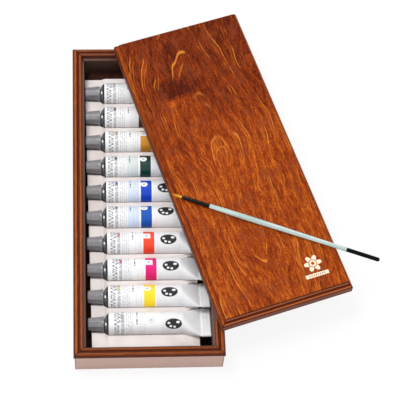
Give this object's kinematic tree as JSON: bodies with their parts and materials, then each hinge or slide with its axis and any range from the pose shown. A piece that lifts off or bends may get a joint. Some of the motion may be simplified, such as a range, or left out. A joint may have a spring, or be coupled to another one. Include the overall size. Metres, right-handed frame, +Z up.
{
  "type": "gouache paint set box",
  "caption": "Moulded wooden case with a lift-off panelled lid lying askew on it, holding capped paint tubes in a formed tray, with a slim brush on the lid.",
  "frame": {"origin": "centre of the case's flat underside", "axes": "+Z up from the underside, +Y along the case's length away from the picture's viewer, +X across the case towards the tubes' flat ends"},
  "size_m": [0.2573, 0.3281, 0.0541],
  "materials": {
    "stained_wood": "reddish-brown stain under satin varnish",
    "tray_plastic": "off-white formed sheet",
    "tube_foil": "white enamelled soft metal with a printed label",
    "cap_plastic": "grey moulded plastic",
    "painted_handle": "pale green lacquer with a black dipped end",
    "black_ferrule": "black coated",
    "hair": "golden-brown hair",
    "paint_white_warm": "gouache paint",
    "paint_dark_red": "gouache paint",
    "paint_ochre": "gouache paint",
    "paint_green": "gouache paint",
    "paint_ultramarine": "gouache paint",
    "paint_blue": "gouache paint",
    "paint_orange_red": "gouache paint",
    "paint_magenta": "gouache paint",
    "paint_yellow": "gouache paint",
    "paint_white": "gouache paint"
  },
  "bodies": {
    "case": {"case_floor": "stained_wood", "case_rail_left": "stained_wood", "case_rail_near": "stained_wood", "case_rail_right": "stained_wood", "case_rail_far": "stained_wood", "tray": "tray_plastic", "tube_01": "tube_foil", "paint_01": "paint_white_warm", "tube_02": "tube_foil", "paint_02": "paint_dark_red", "tube_03": "tube_foil", "paint_03": "paint_ochre", "tube_04": "tube_foil", "paint_04": "paint_green", "tube_05": "tube_foil", "paint_05": "paint_ultramarine", "tube_06": "tube_foil", "paint_06": "paint_blue", "tube_07": "tube_foil", "paint_07": "paint_orange_red", "tube_08": "tube_foil", "paint_08": "paint_magenta"},
    "lid": {"lid_panel": "stained_wood", "lid_rail_left": "stained_wood", "lid_rail_near": "stained_wood", "lid_rail_right": "stained_wood", "lid_rail_far": "stained_wood"},
    "brush": {"brush_handle": "painted_handle", "brush_ferrule": "black_ferrule", "brush_tuft": "hair"},
    "cap_body_01": {"tube_cap_01": "cap_plastic"},
    "cap_body_02": {"tube_cap_02": "cap_plastic"},
    "cap_body_03": {"tube_cap_03": "cap_plastic"},
    "cap_body_04": {"tube_cap_04": "cap_plastic"},
    "cap_body_05": {"tube_cap_05": "cap_plastic"},
    "cap_body_06": {"tube_cap_06": "cap_plastic"},
    "cap_body_07": {"tube_cap_07": "cap_plastic"},
    "cap_body_08": {"tube_cap_08": "cap_plastic"},
    "tube_body_09": {"tube_09": "tube_foil", "paint_09": "paint_yellow"},
    "cap_body_09": {"tube_cap_09": "cap_plastic"},
    "tube_body_10": {"tube_10": "tube_foil", "paint_10": "paint_white"},
    "cap_body_10": {"tube_cap_10": "cap_plastic"}
  },
  "joints": [
    {"name": "lid_lift", "type": "slide", "parent": "case", "child": "lid", "axis": [0, 0, 1], "range_m": [0, 0.06]},
    {"name": "brush_lift", "type": "slide", "parent": "lid", "child": "brush", "axis": [0, 0, 1], "range_m": [0, 0.05]},
    {"name": "cap_turn_01", "type": "hinge", "parent": "case", "child": "cap_body_01", "pos_m": [-0.04608, 0.1095, 0.017], "axis": [-1, 0, 0], "range_deg": [0, 540]},
    {"name": "cap_turn_02", "type": "hinge", "parent": "case", "child": "cap_body_02", "pos_m": [-0.04596, 0.0845, 0.017], "axis": [-1, 0, 0], "range_deg": [0, 540]},
    {"name": "cap_turn_03", "type": "hinge", "parent": "case", "child": "cap_body_03", "pos_m": [-0.04584, 0.0595, 0.017], "axis": [-1, 0, 0], "range_deg": [0, 540]},
    {"name": "cap_turn_04", "type": "hinge", "parent": "case", "child": "cap_body_04", "pos_m": [-0.04572, 0.0345, 0.017], "axis": [-1, 0, 0], "range_deg": [0, 540]},
    {"name": "cap_turn_05", "type": "hinge", "parent": "case", "child": "cap_body_05", "pos_m": [-0.0456, 0.0095, 0.017], "axis": [-1, 0, 0], "range_deg": [0, 540]},
    {"name": "cap_turn_06", "type": "hinge", "parent": "case", "child": "cap_body_06", "pos_m": [-0.04548, -0.0155, 0.017], "axis": [-1, 0, 0], "range_deg": [0, 540]},
    {"name": "cap_turn_07", "type": "hinge", "parent": "case", "child": "cap_body_07", "pos_m": [-0.04536, -0.0405, 0.017], "axis": [-1, 0, 0], "range_deg": [0, 540]},
    {"name": "cap_turn_08", "type": "hinge", "parent": "case", "child": "cap_body_08", "pos_m": [-0.04524, -0.0655, 0.017], "axis": [-1, 0, 0], "range_deg": [0, 540]},
    {"name": "tube_tip_up_09", "type": "hinge", "parent": "case", "child": "tube_body_09", "pos_m": [0.0515, -0.0905, 0.0245], "axis": [0, 1, 0], "range_deg": [0, 22]},
    {"name": "cap_turn_09", "type": "hinge", "parent": "tube_body_09", "child": "cap_body_09", "pos_m": [-0.04512, -0.0905, 0.017], "axis": [-1, 0, 0], "range_deg": [0, 540]},
    {"name": "tube_tip_up_10", "type": "hinge", "parent": "case", "child": "tube_body_10", "pos_m": [0.0515, -0.1155, 0.0245], "axis": [0, 1, 0], "range_deg": [0, 22]},
    {"name": "cap_turn_10", "type": "hinge", "parent": "tube_body_10", "child": "cap_body_10", "pos_m": [-0.045, -0.1155, 0.017], "axis": [-1, 0, 0], "range_deg": [0, 540]}
  ]
}
